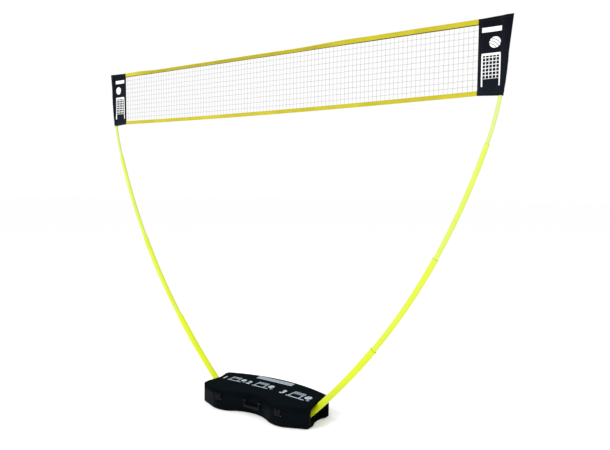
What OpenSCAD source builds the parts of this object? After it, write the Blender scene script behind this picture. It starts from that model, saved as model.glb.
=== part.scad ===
// Portable net game stand: a two-shell carrying case that serves as the foot,
// two bowed telescoping poles set on pegs in its ends, and a net stretched
// between them in sleeves. X runs along the net, -Y is the front of the case,
// +Z is up. The origin lies on the floor, midway between the poles and in
// their plane. All lengths are millimetres.

/* [Case] */
// Length of the case from end to end
case_len = 850; // [760:2:900]
// Height of the closed case above the floor
case_h = 131; // [110:1:160]
// Height of the lid, top plate included
lid_h = 33; // [25:1:45]
// How far the case reaches behind the poles, at its middle
back_y = 204; // [170:1:225]
// How far the case reaches behind the poles, at its ends
back_corner_y = 118; // [105:1:150]
// How far each front lobe reaches in front of the poles
lobe_y = 202; // [190:1:220]
// Distance of each front lobe from the end of the case
lobe_inset = 184; // [160:1:195]
// Radius of each front lobe, towards the end of the case
lobe_r = 150; // [120:5:170]
// Radius of each front lobe, towards the waist
flank_r = 194; // [150:2:260]
// How far the waist reaches in front of the poles
waist_y = 134; // [125:1:150]
// How far the end walls reach in front of the poles
front_corner_y = 146; // [125:1:165]
// Radius of the upright corners
corner_r = 20; // [8:1:30]
// Thickness of the moulded walls
wall = 3.5; // [2.5:0.5:5]
// Thickness of the case floor
floor_t = 4; // [3:0.5:6]
// Depth of the hollow in each end edge
scallop_depth = 22; // [8:1:24]
// Width of the hollow in each end edge
scallop_w = 150; // [100:5:180]
// Height of the lip that centres the lid
lip_h = 4; // [2:0.5:6]
// Height of the rubber feet
foot_h = 3; // [2:0.5:5]
// Diameter of the rubber feet
foot_d = 34; // [20:1:45]

/* [Mouths] */
// Radius of the round sides of each mouth
mouth_r = 52; // [46:1:64]
// Distance of those round sides from the poles' plane
mouth_spread = 58; // [30:1:64]
// How far each mouth's middle lies outside the pole's axis
mouth_shift = 25; // [10:1:26]

/* [Hinge] */
// Distance of each hinge from the middle
hinge_x = 110; // [80:5:150]
// Radius of the hinge barrels
hinge_r = 5.5; // [4.5:0.5:7]
// Length of each of a hinge's three barrels
knuckle_w = 14; // [10:1:20]
// Angle at which the lid stops
lid_open = 105; // [95:1:115]
// Diameter of the hinge, latch and handle pins
pin_d = 4; // [3:0.5:5]

/* [Latches] */
// Width of a latch
latch_w = 44; // [34:1:54]
// Thickness of a latch
latch_t = 4; // [3:0.5:5]
// How far a latch reaches below the seam, to its pin
latch_drop = 24; // [18:1:32]
// How far a latch reaches above the seam
latch_rise = 16; // [12:1:20]
// Width of the catch on the lid
catch_w = 12; // [8:1:18]

/* [Handle] */
// Distance between the middles of the handle's arms
handle_span = 116; // [100:1:130]
// Length of the handle's arms
handle_drop = 38; // [34:1:46]
// Diameter of the grip
grip_d = 16; // [12:1:18]
// Diameter of the arms
arm_d = 9; // [7:1:12]

/* [Poles] */
// Distance of each pole's foot from the end of the case
pole_foot_inset = 85; // [70:1:100]
// Height of each pole's foot above the floor
pole_foot_z = 24; // [22:1:30]
// Lean of the poles at the foot, from upright
lean = 46.5; // [44:0.5:49]
// Outer diameter of the lowest tube
pole_d = 42; // [38:1:46]
// Wall of every tube
tube_wall = 2; // [1.5:0.1:2.5]
// Gap from the bore of a tube to the next tube
tube_gap = 1.5; // [1:0.1:2]
// Length of each of the three lower tubes that shows
section_len = 670; // [640:5:700]
// Length of the top tube that shows, sleeve included
top_section_len = 640; // [610:5:670]
// Length that each tube reaches down inside the one below
overlap = 60; // [40:5:90]
// Bend radius of the lowest tube
bend_1 = 4400; // [4000:50:5200]
// Bend radius of the second tube
bend_2 = 3800; // [3400:50:4600]
// Bend radius of the third tube
bend_3 = 4000; // [3400:50:4600]
// Bend radius of the top tube
bend_4 = 1700; // [1600:20:2000]
// Length of the rings between the tubes
ring_len = 12; // [8:1:20]
// Length of the peg inside each pole
peg_len = 110; // [80:5:140]

/* [Net] */
// Height of the net from edge to edge
net_h = 387; // [330:1:420]
// Height of the top tape
top_tape_h = 30; // [24:1:40]
// Height of the bottom tape
bottom_tape_h = 24; // [18:1:34]
// Thickness of both tapes
tape_t = 5; // [3:0.5:7]
// Sag of the bottom tape at its middle
net_sag = 11; // [0:1:20]
// Gaps along the net
mesh_cols = 50; // [30:1:50]
// Gaps from tape to tape
mesh_rows = 6; // [4:1:6]
// Thickness of the mesh and width of its strands
strand = 2; // [1.5:0.1:3]
// Width of the end panels at the bottom
panel_w = 132; // [110:1:150]
// How far a panel's outer corner stands out at the top
panel_flare = 20; // [0:1:40]
// Thickness of the end panels
panel_t = 3; // [2:0.5:4]
// Thickness of the cloth round the pole sleeve
sleeve_t = 1.6; // [1:0.1:2.5]

/* [Hidden] */

case_colour = "#17191c";
trim_colour = "#24262a";
steel_colour = "#b9bcc0";
rubber_colour = "#2b2b2b";
pole_colour = "#e4f02c";
tape_colour = "#ecb41a";
panel_colour = "#14161d";
mesh_colour = "#6a6c70";

// Clearances
seam_gap = 0.3;
lip_gap = 0.4;
lip_t = 2;
pin_gap = 0.05;
slide_gap = 0.05;
side_gap = 0.3;
latch_gap = 0.6;
sleeve_gap = 0.5;
tail_ease = 0.2;
tail_root = 2;

// Heights of the case
floor_top = foot_h + floor_t;
seam_z = case_h - lid_h;
half_len = case_len / 2;
lobe_x = half_len - lobe_inset;
pole_foot_x = half_len - pole_foot_inset;

// Finenesses: round drilled parts, mouths, long shallow arcs
$fn = 48;
mouth_fn = 96;
arc_fn = 360;

// Flats on each stretch of the case's outline
waist_steps = 12;
flank_steps = 14;
lobe_steps = 8;
corner_steps = 6;
back_steps = 14;

// ---- Plan of the case -------------------------------------------------

// Circle through the back corners and the middle of the back
back_rise = back_y - back_corner_y;
back_r = (half_len * half_len + back_rise * back_rise) / (2 * back_rise);
back_cy = back_y - back_r;

// Waist circle, tangent to the inner flanks of both lobes
lobe_depth = lobe_y - waist_y;
waist_r = (lobe_x * lobe_x + lobe_depth * lobe_depth) / (2 * lobe_depth) - flank_r;
waist_cy = -waist_y - waist_r;
flank_cy = flank_r - lobe_y;
lobe_cy = lobe_r - lobe_y;

// Circles that round the corners of the right end
end_cx = half_len - corner_r;
front_cy = corner_r - front_corner_y;
back_corner_cy = back_cy + sqrt(pow(back_r - corner_r, 2) - end_cx * end_cx);

// Directions, seen from the circles' middles, at which one stretch meets the next
waist_turn = atan2(flank_cy - waist_cy, lobe_x);
end_turn = atan2(front_cy - lobe_cy, end_cx - lobe_x)
  - acos((lobe_r - corner_r) / norm([end_cx - lobe_x, front_cy - lobe_cy]));
back_turn = atan2(back_corner_cy - back_cy, end_cx);

function arc(c, r, a0, a1, steps) = [for (k = [0:steps])
  let (a = a0 + (a1 - a0) * k / steps) c + r * [cos(a), sin(a)]];

// Right half of the outline, from the middle of the waist round to the middle of the back
function half_outline(inset) = concat(
  arc([0, waist_cy], waist_r + inset, 90, waist_turn, waist_steps),
  arc([lobe_x, flank_cy], flank_r - inset, waist_turn - 180, -90, flank_steps),
  arc([lobe_x, lobe_cy], lobe_r - inset, -90, end_turn, lobe_steps),
  arc([end_cx, front_cy], corner_r - inset, end_turn, 0, corner_steps),
  arc([end_cx, back_corner_cy], corner_r - inset, 0, back_turn, corner_steps),
  arc([0, back_cy], back_r - inset, back_turn, 90, back_steps));

function left_half(points) = [for (k = [len(points) - 2:-1:1]) [-points[k][0], points[k][1]]];

// Outline of the case, drawn in by inset
module plan(inset = 0) {
  right = half_outline(inset);
  polygon(concat(right, left_half(right)));
}

// Front of the waist wall, and back of the case, at a distance x from the middle
function waist_front(x) = waist_cy + sqrt(waist_r * waist_r - x * x);
function case_back(x) = back_cy + sqrt(back_r * back_r - x * x);

module slab(inset, z0, z1) {
  translate([0, 0, z0]) linear_extrude(z1 - z0) plan(inset);
}

module both_sides() {
  children();
  mirror([1, 0, 0]) children();
}

// ---- Poles: four arcs, each tangent to the one below -------------------

bends = [bend_1, bend_2, bend_3, bend_4];
shown = [section_len, section_len, section_len, top_section_len];
tube_step = 2 * (tube_wall + tube_gap);
function tube_d(i) = pole_d - i * tube_step;
function tube_bore(i) = tube_d(i) - 2 * tube_wall;

// Lean at the lower end of section i, and at its upper end for i + 1
function lean_at(i) = i == 0 ? lean : lean_at(i - 1) - shown[i - 1] / bends[i - 1] * 180 / PI;
// Point [x, z] on an arc of radius r round centre c where the lean is a
function on_arc(c, r, a) = [c[0] + r * cos(a), c[1] - r * sin(a)];
function joint_at(i) = i == 0 ? [pole_foot_x, pole_foot_z]
  : on_arc(centre_of(i - 1), bends[i - 1], lean_at(i));
function centre_of(i) = joint_at(i) + bends[i] * [-cos(lean_at(i)), sin(lean_at(i))];

// Lean of the top tube where it passes height z
function top_lean(z) = asin((centre_of(3)[1] - z) / bends[3]);
function top_x(z) = centre_of(3)[0] + bends[3] * cos(top_lean(z));

// A stretch of section i, from distance s0 to s1 above its lower end
module along(i, s0, s1) {
  start = lean_at(i) - s0 / bends[i] * 180 / PI;
  turn = (s1 - s0) / bends[i] * 180 / PI;
  translate([centre_of(i)[0], 0, centre_of(i)[1]])
    rotate([90, 0, 0]) rotate([0, 0, -start])
      rotate_extrude(angle = turn, $fn = arc_fn) translate([bends[i], 0]) children();
}

module ring_profile(outer, inner) {
  difference() {
    circle(d = outer);
    circle(d = inner);
  }
}

// Tube i, with its eased tail inside the tube below
module tube(i) {
  color(pole_colour) {
    along(i, 0, shown[i]) ring_profile(tube_d(i), tube_bore(i));
    if (i > 0) along(i - 1, shown[i - 1] - overlap, shown[i - 1] + tail_root)
      ring_profile(tube_d(i) - tail_ease, tube_bore(i) + tail_ease);
  }
}

// Rings fixed in the mouths of the three lower tubes
module mouth_rings() {
  color(trim_colour) for (i = [0:2])
    along(i, shown[i] - ring_len, shown[i])
      ring_profile(tube_bore(i), tube_d(i + 1) + 2 * slide_gap);
}

// Rings fixed on the tails of the three upper tubes
module slide_rings() {
  color(trim_colour) for (i = [0:2])
    along(i, shown[i] - overlap, shown[i] - overlap + ring_len)
      ring_profile(tube_bore(i) - 2 * slide_gap, tube_d(i + 1) - tail_ease);
}

cap_plug = 20;
cap_head = 3;
module tip_cap() {
  color(trim_colour) {
    along(3, top_section_len - cap_plug, top_section_len + cap_head / 2) circle(d = tube_bore(3));
    along(3, top_section_len, top_section_len + cap_head) circle(d = tube_d(3));
  }
}

// ---- Mouths and pegs ----------------------------------------------------

foot_dir = [sin(lean), cos(lean)];

// The slanted mouth, of side radius r, parallel to the foot of the pole
module mouth(r) {
  reach = case_len;
  translate([pole_foot_x + mouth_shift * foot_dir[1], 0, pole_foot_z - mouth_shift * foot_dir[0]])
    rotate([0, lean, 0]) {
      for (y = [-mouth_spread, mouth_spread])
        translate([0, y, -reach / 2]) cylinder(r = r, h = reach, $fn = mouth_fn);
      translate([-r, -mouth_spread, -reach / 2]) cube([2 * r, 2 * mouth_spread, reach]);
    }
}

// Shallow upright hollow in the end edges
scallop_r = (scallop_w * scallop_w / 4 + scallop_depth * scallop_depth) / (2 * scallop_depth);
module scallop() {
  translate([half_len + scallop_r - scallop_depth, 0, -1])
    cylinder(r = scallop_r, h = case_h + 2, $fn = 160);
}

module mouth_cut() {
  both_sides() {
    intersection() {
      mouth(mouth_r);
      translate([0, -lobe_y, floor_top]) cube([case_len, 2 * lobe_y, 2 * case_h]);
    }
    scallop();
  }
}

peg_plate = [80, 72, 6];
peg_screw_d = 5;
peg_screw_inset = 8;
peg_collar_rim = 3;
peg_wall = 5;
peg_root = 5;
peg_hit_x = pole_foot_x - (pole_foot_z - floor_top) * tan(lean);
peg_plate_x = peg_hit_x + peg_plate[0] / 8;

function peg_screw_xy(i, j) = [
  peg_plate_x + i * (peg_plate[0] / 2 - peg_screw_inset),
  j * (peg_plate[1] / 2 - peg_screw_inset)];

module at_peg_screws() {
  for (i = [-1, 1], j = [-1, 1])
    translate([peg_screw_xy(i, j)[0], peg_screw_xy(i, j)[1], floor_top]) children();
}

// Room above the foot plane, so that the pole stands squarely on the collar
module pole_bed() {
  translate([pole_foot_x, 0, pole_foot_z]) rotate([0, lean, 0]) cylinder(d = 3 * pole_d, h = pole_d);
}

module peg_foot() {
  difference() {
    union() {
      intersection() {
        translate([pole_foot_x, 0, pole_foot_z]) rotate([0, lean, 0])
          translate([0, 0, -pole_d]) cylinder(d = pole_d + 2 * peg_collar_rim, h = pole_d);
        translate([0, -pole_d, floor_top]) cube([case_len, 2 * pole_d, case_h]);
      }
      translate([peg_plate_x - peg_plate[0] / 2, -peg_plate[1] / 2, floor_top]) cube(peg_plate);
    }
    pole_bed();
  }
}

module peg() {
  color(trim_colour) difference() {
    union() {
      peg_foot();
      along(0, -peg_root, peg_len) circle(d = tube_bore(0) - 2 * slide_gap);
    }
    along(0, 0, peg_len + 1) circle(d = tube_bore(0) - 2 * peg_wall);
    at_peg_screws() translate([0, 0, -1]) cylinder(d = peg_screw_d + 2 * pin_gap, h = peg_plate[2] + 2);
  }
}

screw_head_d = 9;
screw_head_h = 3;
screw_socket = 4;
screw_floor_left = 0.5;
module peg_screws() {
  color(steel_colour) both_sides() at_peg_screws() difference() {
    union() {
      translate([0, 0, screw_floor_left - floor_t])
        cylinder(d = peg_screw_d, h = peg_plate[2] + floor_t - screw_floor_left);
      translate([0, 0, peg_plate[2]]) cylinder(d = screw_head_d, h = screw_head_h);
    }
    translate([0, 0, peg_plate[2] + screw_head_h / 3]) cylinder(d = screw_socket, h = screw_head_h, $fn = 6);
  }
}

// ---- Hinge --------------------------------------------------------------

hinge_reach = 5;
hinge_y = back_y + hinge_reach;
web_h = 12;
pin_bore = pin_d + 2 * pin_gap;

// Barrel of one knuckle, n steps from the hinge's middle, and its web from height z
module knuckle(n, z) {
  w = knuckle_w - side_gap;
  x0 = hinge_x + n * knuckle_w - w / 2;
  root = case_back(x0 + w) - wall / 2;
  translate([x0, hinge_y, seam_z]) rotate([0, 90, 0]) cylinder(r = hinge_r, h = w);
  translate([x0, root, z]) cube([w, hinge_y - root, web_h]);
}

// Heel under a lid knuckle, whose flat meets the back of the tray when the lid is fully open
module lid_heel(n) {
  w = knuckle_w - side_gap;
  reach = hinge_y - case_back(hinge_x - 1.5 * knuckle_w) - side_gap;
  flat_end = reach * [-cos(lid_open), -sin(lid_open)];
  tail_end = flat_end + hinge_r * [sin(lid_open), -cos(lid_open)];
  translate([hinge_x + n * knuckle_w - w / 2, hinge_y, seam_z])
    rotate([90, 0, 90]) linear_extrude(w) polygon([[-pin_d, 0], flat_end, tail_end, [hinge_r, 0]]);
}

module hinge_bore() {
  translate([hinge_x - 2 * knuckle_w, hinge_y, seam_z])
    rotate([0, 90, 0]) cylinder(d = pin_bore, h = 4 * knuckle_w);
}

pin_head = 2;
module headed_pin(len) {
  cylinder(d = pin_d, h = len);
  translate([0, 0, -pin_head]) cylinder(d1 = pin_d, d2 = 1.6 * pin_d, h = pin_head);
  translate([0, 0, len]) cylinder(d1 = 1.6 * pin_d, d2 = pin_d, h = pin_head);
}

module hinge_pins() {
  len = 3 * knuckle_w;
  color(steel_colour) both_sides()
    translate([hinge_x - len / 2, hinge_y, seam_z]) rotate([0, 90, 0]) headed_pin(len);
}

// ---- Latches --------------------------------------------------------------

latch_z = seam_z - latch_drop;
latch_barrel_r = 4.5;
latch_axis_y = -lobe_y - latch_barrel_r - latch_gap;
ear_t = 6;
ear_r = 5;
ear_x = latch_w / 2 + side_gap;

module latch_ear(x) {
  root = lobe_cy - sqrt(lobe_r * lobe_r - pow(ear_x + ear_t, 2)) + wall / 2;
  translate([x, latch_axis_y, latch_z]) rotate([0, 90, 0]) cylinder(r = ear_r, h = ear_t);
  translate([x, latch_axis_y, latch_z - ear_r]) cube([ear_t, root - latch_axis_y, 2 * ear_r]);
}

module latch_ears() {
  translate([lobe_x, 0, 0]) {
    latch_ear(ear_x);
    latch_ear(-ear_x - ear_t);
  }
}

module latch_bore() {
  translate([lobe_x - latch_w, latch_axis_y, latch_z])
    rotate([0, 90, 0]) cylinder(d = pin_bore, h = 2 * latch_w);
}

catch_gap = 2;
catch_h = 7;
catch_foot = latch_drop + 6;
module latch() {
  plate_h = latch_drop + latch_rise;
  color(trim_colour) difference() {
    translate([lobe_x - latch_w / 2, 0, latch_z]) {
      translate([0, latch_axis_y, 0]) rotate([0, 90, 0]) cylinder(r = latch_barrel_r, h = latch_w);
      translate([0, -lobe_y - latch_gap - latch_t, 0]) cube([latch_w, latch_t, plate_h]);
    }
    translate([lobe_x - catch_w / 2, -lobe_y - latch_gap - 2 * latch_t, latch_z + catch_foot])
      translate([-catch_gap, 0, -catch_gap]) cube([catch_w + 2 * catch_gap, 3 * latch_t, plate_h]);
    latch_bore();
  }
}

// Catch on the lid, between the prongs of the latch
module latch_catch() {
  translate([lobe_x - catch_w / 2, -lobe_y - latch_t, latch_z + catch_foot])
    cube([catch_w, latch_t + wall, catch_h]);
}

module latch_pins() {
  len = latch_w + 2 * (side_gap + ear_t);
  color(steel_colour) both_sides()
    translate([lobe_x - len / 2, latch_axis_y, latch_z]) rotate([0, 90, 0]) headed_pin(len);
}

// ---- Handle ---------------------------------------------------------------

handle_z = seam_z - 9;
handle_x = handle_span / 2;
eye_r = 6;
eye_w = arm_d;
grip_gap = 5;
handle_y = -waist_y - grip_gap - grip_d / 2 - (waist_front(0) - waist_front(handle_x));
handle_ear_t = 5;

module handle_ear(x) {
  root = waist_front(x) + wall / 2;
  translate([x, handle_y, handle_z]) rotate([0, 90, 0]) cylinder(r = eye_r, h = handle_ear_t);
  translate([x, handle_y, handle_z - eye_r]) cube([handle_ear_t, root - handle_y, 2 * eye_r]);
}

module handle_ears() {
  handle_ear(handle_x + eye_w / 2 + side_gap);
  handle_ear(handle_x - eye_w / 2 - side_gap - handle_ear_t);
}

module handle_bore() {
  len = eye_w + 4 * handle_ear_t;
  translate([handle_x - len / 2, handle_y, handle_z])
    rotate([0, 90, 0]) cylinder(d = pin_bore, h = len);
}

module handle_arm() {
  translate([handle_x - eye_w / 2, handle_y, handle_z]) rotate([0, 90, 0]) cylinder(r = eye_r, h = eye_w);
  translate([handle_x, handle_y, handle_z - handle_drop]) {
    cylinder(d = arm_d, h = handle_drop - eye_r / 2);
    sphere(d = grip_d);
  }
}

module carry_handle() {
  color(trim_colour) difference() {
    union() {
      both_sides() handle_arm();
      translate([-handle_x, handle_y, handle_z - handle_drop]) rotate([0, 90, 0])
        cylinder(d = grip_d, h = handle_span);
    }
    both_sides() handle_bore();
  }
}

module handle_pins() {
  len = eye_w + 2 * (side_gap + handle_ear_t);
  color(steel_colour) both_sides()
    translate([handle_x - len / 2, handle_y, handle_z]) rotate([0, 90, 0]) headed_pin(len);
}

// ---- Case shells ------------------------------------------------------------

// Lip on the tray that centres the lid, broken by the mouths
module lid_lip() {
  inner = wall + lip_gap + lip_t;
  difference() {
    slab(wall / 2, seam_z - 2 * lip_h, seam_z);
    slab(inner, seam_z - 2 * lip_h - 1, seam_z + 1);
  }
  difference() {
    slab(wall + lip_gap, seam_z - lip_h, seam_z + lip_h);
    slab(inner, seam_z - lip_h - 1, seam_z + lip_h + 1);
    both_sides() mouth(mouth_r + wall + lip_h);
  }
}

module tray() {
  color(case_colour) difference() {
    union() {
      difference() {
        slab(0, foot_h, seam_z);
        slab(wall, floor_top, seam_z + 1);
      }
      intersection() {
        slab(0, foot_h, seam_z);
        both_sides() mouth(mouth_r + wall);
      }
      lid_lip();
      both_sides() {
        knuckle(0, seam_z - web_h);
        latch_ears();
        handle_ears();
      }
    }
    mouth_cut();
    both_sides() {
      hinge_bore();
      latch_bore();
      handle_bore();
      at_peg_screws() translate([0, 0, -floor_t - 1])
        cylinder(d = peg_screw_d + 2 * pin_gap, h = floor_t + 2);
    }
  }
}

module lid() {
  z0 = seam_z + seam_gap;
  color(case_colour) difference() {
    union() {
      difference() {
        slab(0, z0, case_h);
        slab(wall, z0 - 1, case_h - wall);
      }
      intersection() {
        slab(0, z0, case_h);
        both_sides() mouth(mouth_r + wall);
      }
      both_sides() {
        for (n = [-1, 1]) {
          knuckle(n, z0);
          lid_heel(n);
        }
        latch_catch();
      }
    }
    mouth_cut();
    both_sides() hinge_bore();
  }
}

foot_places = [[half_len - 2 * foot_d, 1.5 * foot_d], [lobe_x, -lobe_y + 1.8 * foot_d]];
module feet() {
  color(rubber_colour) {
    cylinder(d = foot_d, h = foot_h);
    both_sides() for (p = foot_places) translate([p[0], p[1], 0]) cylinder(d = foot_d, h = foot_h);
  }
}

// ---- Net ----------------------------------------------------------------------

tip = on_arc(centre_of(3), bends[3], lean_at(3) - top_section_len / bends[3] * 180 / PI);
pocket_room = cap_head + 1;
net_top = tip[1] + pocket_room;
net_bottom = net_top - net_h;
sleeve_bore = tube_d(3) + 2 * sleeve_gap;
sleeve_d = sleeve_bore + 2 * sleeve_t;
net_half = top_x(net_bottom) + sleeve_d / 2 - panel_w;
mesh_top = net_top - top_tape_h;
mesh_low = net_bottom + bottom_tape_h;

// Sag of the bottom edge at x, and height of mesh line j there
function sag_at(x) = net_sag * (1 - pow(x / net_half, 2));
function line_z(x, j) = mesh_top - (mesh_top - mesh_low + sag_at(x)) * j / mesh_rows;
function col_x(i) = -net_half + 2 * net_half * i / mesh_cols;

// Stands a drawing in X and Z upright, t thick, in the poles' plane
module upright(t) {
  rotate([90, 0, 0]) linear_extrude(t, center = true) children();
}

// One gap of the mesh, between its strands
module mesh_gap(i, j) {
  h = strand / 2;
  x0 = col_x(i);
  x1 = col_x(i + 1);
  polygon([
    [x0 + h, line_z(x0, j) - h], [x1 - h, line_z(x1, j) - h],
    [x1 - h, line_z(x1, j + 1) + h], [x0 + h, line_z(x0, j + 1) + h]]);
}

module net_mesh() {
  color(mesh_colour) upright(strand) difference() {
    polygon(concat(
      [for (i = [0:mesh_cols]) [col_x(i), line_z(col_x(i), mesh_rows)]],
      [[net_half, mesh_top], [-net_half, mesh_top]]));
    for (i = [0:mesh_cols - 1], j = [0:mesh_rows - 1]) mesh_gap(i, j);
  }
}

module top_tape() {
  color(tape_colour) upright(tape_t)
    translate([-net_half, mesh_top]) square([2 * net_half, top_tape_h]);
}

module bottom_tape() {
  color(tape_colour) upright(tape_t) polygon(concat(
    [for (i = [0:mesh_cols]) [col_x(i), line_z(col_x(i), mesh_rows)]],
    [for (i = [mesh_cols:-1:0]) [col_x(i), line_z(col_x(i), mesh_rows) - bottom_tape_h]]));
}

// Distance up the top tube at height z
function up_top(z) = (lean_at(3) - top_lean(z)) * PI / 180 * bends[3];

panel_drop = 6;
module panel() {
  low = up_top(net_bottom - panel_drop);
  outer_low = top_x(net_bottom - panel_drop) + sleeve_d / 2;
  outer_top = max(top_x(net_top) + sleeve_d / 2, outer_low) + panel_flare;
  closed = top_section_len + pocket_room + sleeve_t;
  color(panel_colour) difference() {
    union() {
      upright(panel_t) polygon([
        [net_half, net_bottom], [outer_low, net_bottom - panel_drop],
        [outer_top, net_top + pocket_room], [net_half, net_top]]);
      along(3, low, closed) circle(d = sleeve_d);
    }
    along(3, low - 2 * panel_drop, top_section_len + pocket_room) circle(d = sleeve_bore);
  }
}

// ---- Nodes ----------------------------------------------------------------------

tray();
lid();
hinge_pins();
mirror([1, 0, 0]) latch();  // left_latch
latch();  // right_latch
latch_pins();
carry_handle();
handle_pins();
feet();
mirror([1, 0, 0]) peg();  // left_peg
peg();  // right_peg
peg_screws();
mirror([1, 0, 0]) tube(0);  // left_tube_1
mirror([1, 0, 0]) tube(1);  // left_tube_2
mirror([1, 0, 0]) tube(2);  // left_tube_3
mirror([1, 0, 0]) tube(3);  // left_tube_4
tube(0);  // right_tube_1
tube(1);  // right_tube_2
tube(2);  // right_tube_3
tube(3);  // right_tube_4
mirror([1, 0, 0]) mouth_rings();  // left_mouth_rings
mouth_rings();  // right_mouth_rings
mirror([1, 0, 0]) slide_rings();  // left_slide_rings
slide_rings();  // right_slide_rings
mirror([1, 0, 0]) tip_cap();  // left_tip_cap
tip_cap();  // right_tip_cap
net_mesh();
top_tape();
bottom_tape();
mirror([1, 0, 0]) panel();  // left_panel
panel();  // right_panel
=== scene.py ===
"""Finished look of a portable volleyball net: case, poles, net, tapes and end panels."""
import math

import bmesh
import bpy
from bpy.props import FloatProperty, FloatVectorProperty, IntProperty, PointerProperty
from mathutils import Matrix, Vector


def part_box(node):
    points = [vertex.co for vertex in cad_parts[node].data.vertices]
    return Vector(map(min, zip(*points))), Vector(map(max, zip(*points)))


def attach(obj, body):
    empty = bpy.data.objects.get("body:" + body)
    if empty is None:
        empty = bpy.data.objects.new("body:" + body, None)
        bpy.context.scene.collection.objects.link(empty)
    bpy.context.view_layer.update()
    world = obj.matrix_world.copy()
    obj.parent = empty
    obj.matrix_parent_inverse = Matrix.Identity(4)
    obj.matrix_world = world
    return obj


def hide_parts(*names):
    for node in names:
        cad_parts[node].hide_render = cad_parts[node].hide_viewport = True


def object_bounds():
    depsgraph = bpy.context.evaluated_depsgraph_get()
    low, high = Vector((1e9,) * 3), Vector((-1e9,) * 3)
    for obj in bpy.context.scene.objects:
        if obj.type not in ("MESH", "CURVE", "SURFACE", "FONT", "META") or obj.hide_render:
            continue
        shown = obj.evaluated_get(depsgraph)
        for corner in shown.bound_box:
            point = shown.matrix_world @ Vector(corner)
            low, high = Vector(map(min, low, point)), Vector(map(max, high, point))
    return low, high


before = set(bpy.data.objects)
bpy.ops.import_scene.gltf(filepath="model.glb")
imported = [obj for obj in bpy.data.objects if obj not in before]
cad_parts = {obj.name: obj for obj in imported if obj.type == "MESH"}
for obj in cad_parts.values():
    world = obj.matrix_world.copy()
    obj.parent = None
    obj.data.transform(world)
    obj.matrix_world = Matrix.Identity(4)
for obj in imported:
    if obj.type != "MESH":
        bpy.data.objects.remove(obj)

bl_info = {
    "name": "Portable Net Set",
    "version": (1, 0, 0),
    "blender": (4, 5, 0),
    "location": "View3D > Sidebar > Net Set",
    "description": "Builds the visible pieces of a portable net set around its packed parts",
    "category": "Object",
}

CAD_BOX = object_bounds()
MM = 0.001
CASE_BODY = "case"
SIDES = {"left": -1, "right": 1}


# ---- Settings ----

def length(name, description, default):
    """A size in metres that a user may change."""
    return FloatProperty(name=name, description=description, default=default, unit="LENGTH",
                         min=0.0, precision=5)


def colour(name, description, default):
    """A linear colour that a user may change."""
    return FloatVectorProperty(name=name, description=description, default=default,
                               subtype="COLOR", size=3, min=0.0, max=1.0)


class CaseSettings(bpy.types.PropertyGroup):
    """Finish of the carrying case and of what is on it."""

    rim_round: length("Rim Rounding", "Radius of the lid's upper rim", 0.008)
    base_round: length("Base Rounding", "Radius of the tray's lower rim", 0.004)
    edge_round: length("Edge Rounding", "Radius of all other moulded edges", 0.0012)
    print_size: length("Print Size", "Height of the numbers on the lid", 0.074)
    # Painted shade: a darker colour for the lid's level top face.
    shell: colour("Shell", "Colour of the moulded shells", (0.0020, 0.0031, 0.0042))
    plate: colour("Plate", "Colour of the printed plate on the lid", (0.0010, 0.0030, 0.0042))
    trim: colour("Trim", "Colour of latches, handle, pegs and rings", (0.0045, 0.0052, 0.0062))
    ink: colour("Ink", "Colour of the printed signs", (0.38, 0.46, 0.53))


class PoleSettings(bpy.types.PropertyGroup):
    """Course and finish of the bowed telescoping poles."""

    foot_x: length("Foot Distance", "Distance of each pole's foot from the middle", 0.340)
    foot_z: length("Foot Height", "Height of each pole's foot", 0.024)
    lean: FloatProperty(name="Lean", description="Lean at the foot, from upright",
                        default=math.radians(46.5), subtype="ANGLE")
    girth: length("Girth", "Diameter of the lowest tube", 0.042)
    step: length("Step", "Difference in diameter from tube to tube", 0.007)
    wall: length("Wall", "Wall of every tube", 0.002)
    section: length("Section", "Length of the three lower tubes that shows", 0.670)
    top_section: length("Top Section", "Length of the top tube", 0.640)
    tail: length("Tail", "Length of a tube inside the one below", 0.060)
    bends: FloatVectorProperty(
        name="Bend Radii", description="Bend radius of each tube, from below",
        default=(4.4, 3.8, 4.0, 1.7), size=4, unit="LENGTH")
    lemon: colour("Lemon", "Colour of the lowest tubes", (0.56, 0.655, 0.008))
    pale: colour("Pale Lemon", "Colour of the top tubes", (0.53, 0.605, 0.16))


class NetSettings(bpy.types.PropertyGroup):
    """Mesh, tapes and end panels."""

    columns: IntProperty(name="Columns", description="Cells along the net", default=104, min=2)
    rows: IntProperty(name="Rows", description="Cells from tape to tape", default=11, min=2)
    twine: length("Twine", "Diameter of the twine", 0.0012)
    knot: length("Knot", "Diameter of the knots", 0.0031)
    sag: length("Sag", "Sag of the bottom tape at its middle", 0.011)
    tape_lean: FloatProperty(name="Tape Lean", description="How far the top tape leans forward",
                             default=math.radians(57), subtype="ANGLE")
    # Height of a dark olive band of colour along the top tape's open edge.
    edging: length("Edging", "Height of the top tape's dark edging", 0.0045)
    gold: colour("Gold", "Colour of the tapes", (0.475, 0.415, 0.013))
    cloth: colour("Cloth", "Colour of the end panels", (0.0030, 0.0045, 0.0085))
    mesh: colour("Mesh", "Colour of the twine", (0.11, 0.112, 0.125))


class NetSetSettings(bpy.types.PropertyGroup):
    """All settings of the set."""

    case: PointerProperty(type=CaseSettings)
    poles: PointerProperty(type=PoleSettings)
    net: PointerProperty(type=NetSettings)


def settings():
    return bpy.context.scene.net_set


# ---- Shader building ----

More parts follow.
